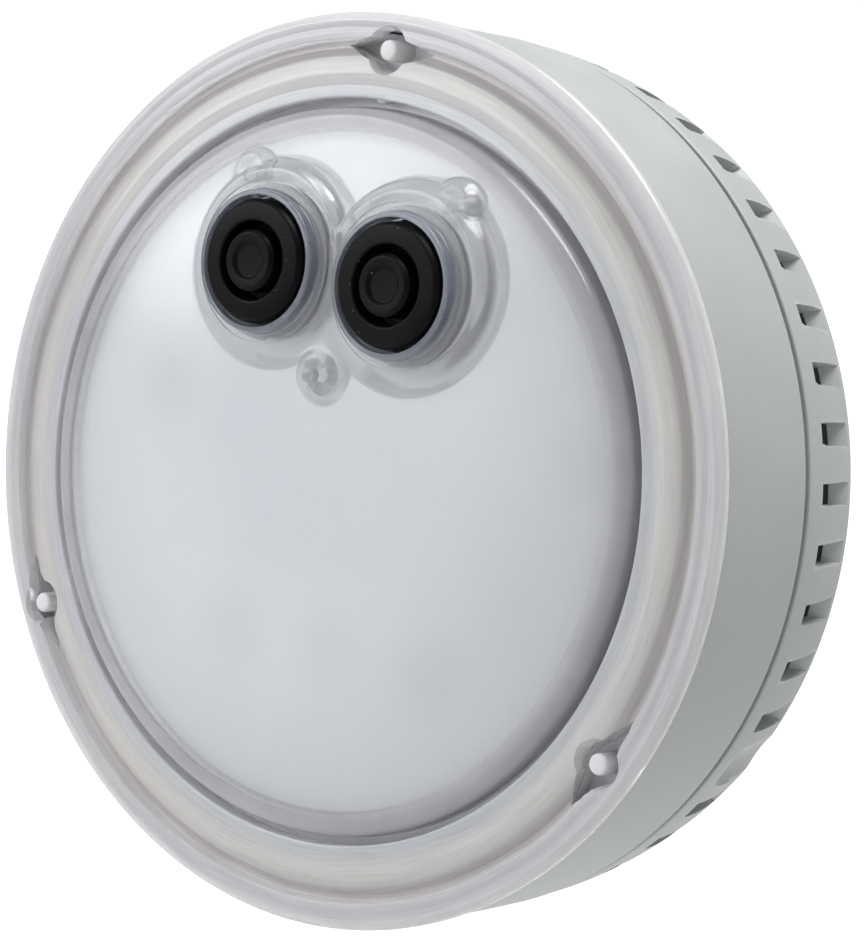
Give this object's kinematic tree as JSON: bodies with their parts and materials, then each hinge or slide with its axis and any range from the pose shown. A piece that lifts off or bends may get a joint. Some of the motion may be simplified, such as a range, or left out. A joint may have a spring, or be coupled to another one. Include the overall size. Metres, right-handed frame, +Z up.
{
  "type": "underwater pool light",
  "caption": "Round battery-powered LED light for a pool or spa wall: clear domed lens with push buttons, grey housing, slotted base ring with a twist lock.",
  "frame": {"origin": "on the lamp's axis, in the rear face of the base ring, where it meets the wall outlet", "axes": "+Y along the lamp's axis into the wall, so the lens faces -Y; +Z up, through the middle of the button pair; +X to the right as the lens is seen from the front"},
  "size_m": [0.118, 0.0449, 0.118],
  "materials": {
    "clear_plastic": "clear moulded polycarbonate, lightly frosted",
    "milky_plastic": "milky light-spreading plastic",
    "grey_plastic": "satin light-grey moulded plastic",
    "boot_rubber": "matt black silicone rubber",
    "seal_rubber": "black sealing rubber",
    "white_plastic": "white moulded plastic",
    "switch_plastic": "black moulded plastic",
    "board": "white solder mask on a fibreglass board",
    "led": "clear epoxy lamp bodies",
    "screw_steel": "plain stainless steel",
    "contact_metal": "nickel-plated spring steel",
    "battery_jacket": "plain printed cell jacket",
    "red_wire": "red wire insulation",
    "black_wire": "black wire insulation",
    "white_wire": "white wire insulation"
  },
  "bodies": {
    "base": {"base_ring": "grey_plastic", "base_gasket": "seal_rubber"},
    "lamp": {"front_lens": "clear_plastic", "retaining_ring": "clear_plastic", "diffuser": "milky_plastic", "main_housing": "grey_plastic", "rear_housing": "grey_plastic", "battery_cover": "grey_plastic", "power_button_boot": "boot_rubber", "color_button_boot": "boot_rubber", "lens_seal": "seal_rubber", "battery_cover_seal": "seal_rubber", "reflector": "white_plastic", "button_clamp_plate": "white_plastic", "power_switch": "switch_plastic", "color_switch": "switch_plastic", "led_board": "board", "switch_board": "board", "led_1": "led", "led_2": "led", "led_3": "led", "led_4": "led", "led_5": "led", "battery_cover_screw_1": "screw_steel", "battery_cover_screw_2": "screw_steel", "battery_cover_screw_3": "screw_steel", "battery_cover_screw_4": "screw_steel", "led_board_screw_1": "screw_steel", "led_board_screw_2": "screw_steel", "led_board_screw_3": "screw_steel", "clamp_plate_screw_1": "screw_steel", "clamp_plate_screw_2": "screw_steel", "clamp_plate_screw_3": "screw_steel", "switch_board_screw_1": "screw_steel", "switch_board_screw_2": "screw_steel", "contact_spring_1": "contact_metal", "contact_spring_2": "contact_metal", "contact_spring_3": "contact_metal", "contact_strip_left": "contact_metal", "contact_strip_right": "contact_metal", "battery_1": "battery_jacket", "battery_2": "battery_jacket", "battery_3": "battery_jacket", "battery_lead_red": "red_wire", "battery_lead_black": "black_wire", "switch_lead": "white_wire"},
    "power_button": {"power_button_cap": "boot_rubber", "power_switch_plunger": "white_plastic"},
    "color_button": {"color_button_cap": "boot_rubber", "color_switch_plunger": "white_plastic"}
  },
  "joints": [
    {"name": "lamp_twist", "type": "hinge", "parent": "base", "child": "lamp", "pos_m": [0, 0, 0], "axis": [0, -1, 0], "range_deg": [0, 26]},
    {"name": "power_press", "type": "slide", "parent": "lamp", "child": "power_button", "axis": [0, 1, 0], "range_m": [0, 0.0012], "stiffness_N_per_m": 1500, "springref_m": -0.0004},
    {"name": "color_press", "type": "slide", "parent": "lamp", "child": "color_button", "axis": [0, 1, 0], "range_m": [0, 0.0012], "stiffness_N_per_m": 1500, "springref_m": -0.0004}
  ]
}
